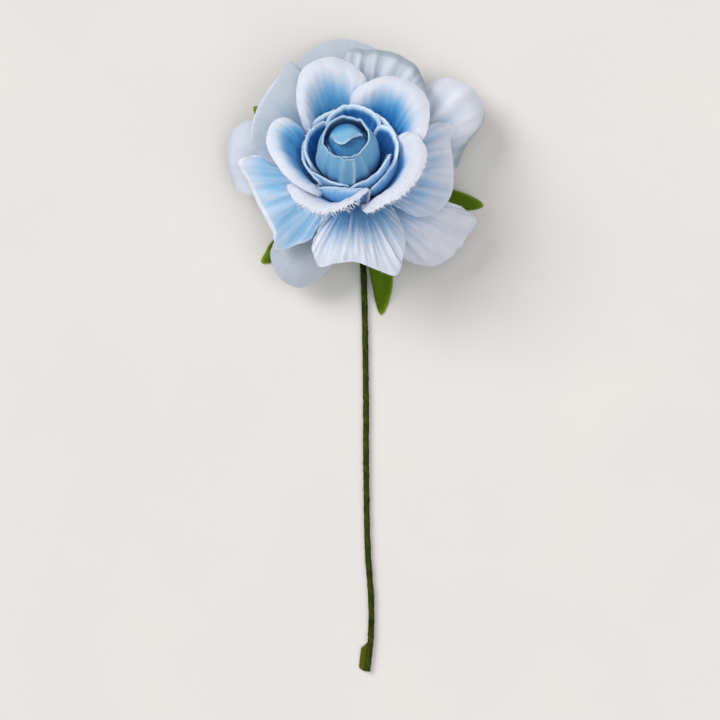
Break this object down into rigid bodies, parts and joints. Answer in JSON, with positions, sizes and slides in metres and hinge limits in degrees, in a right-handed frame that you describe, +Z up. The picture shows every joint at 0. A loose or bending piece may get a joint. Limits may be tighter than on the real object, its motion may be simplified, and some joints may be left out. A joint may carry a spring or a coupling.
{
  "type": "fabric rose on a wire stem",
  "caption": "Small craft rose of die-cut fabric petals round a rolled bud, on a tape-wrapped wire stem, lying face up on its sepals.",
  "frame": {"origin": "middle of the bottom of the whole rose's box, on the table that it lies on", "axes": "+Y along the stem from its cut end towards the head, +Z up from the table, +X to the right of the stem seen from above"},
  "size_m": [0.0446, 0.1092, 0.0247],
  "materials": {
    "steel_wire": "drawn, cut at the end",
    "green_paper_tape": "crinkled, faintly waxy",
    "green_fabric": "stiffened weave, cut edges",
    "petal_fabric": "stiffened weave, dyed pale blue towards the middle, white rims",
    "inner_petal_fabric": "stiffened weave, dyed mid blue, ragged pale edges"
  },
  "bodies": {
    "root": {"stem_wire": "steel_wire", "stem_tape": "green_paper_tape", "calyx": "green_fabric", "outer_petals_back": "petal_fabric", "outer_petals_front": "petal_fabric", "curled_petals": "petal_fabric", "cup_petals": "inner_petal_fabric", "inner_petals": "inner_petal_fabric", "bud_roll": "inner_petal_fabric"}
  },
  "joints": []
}
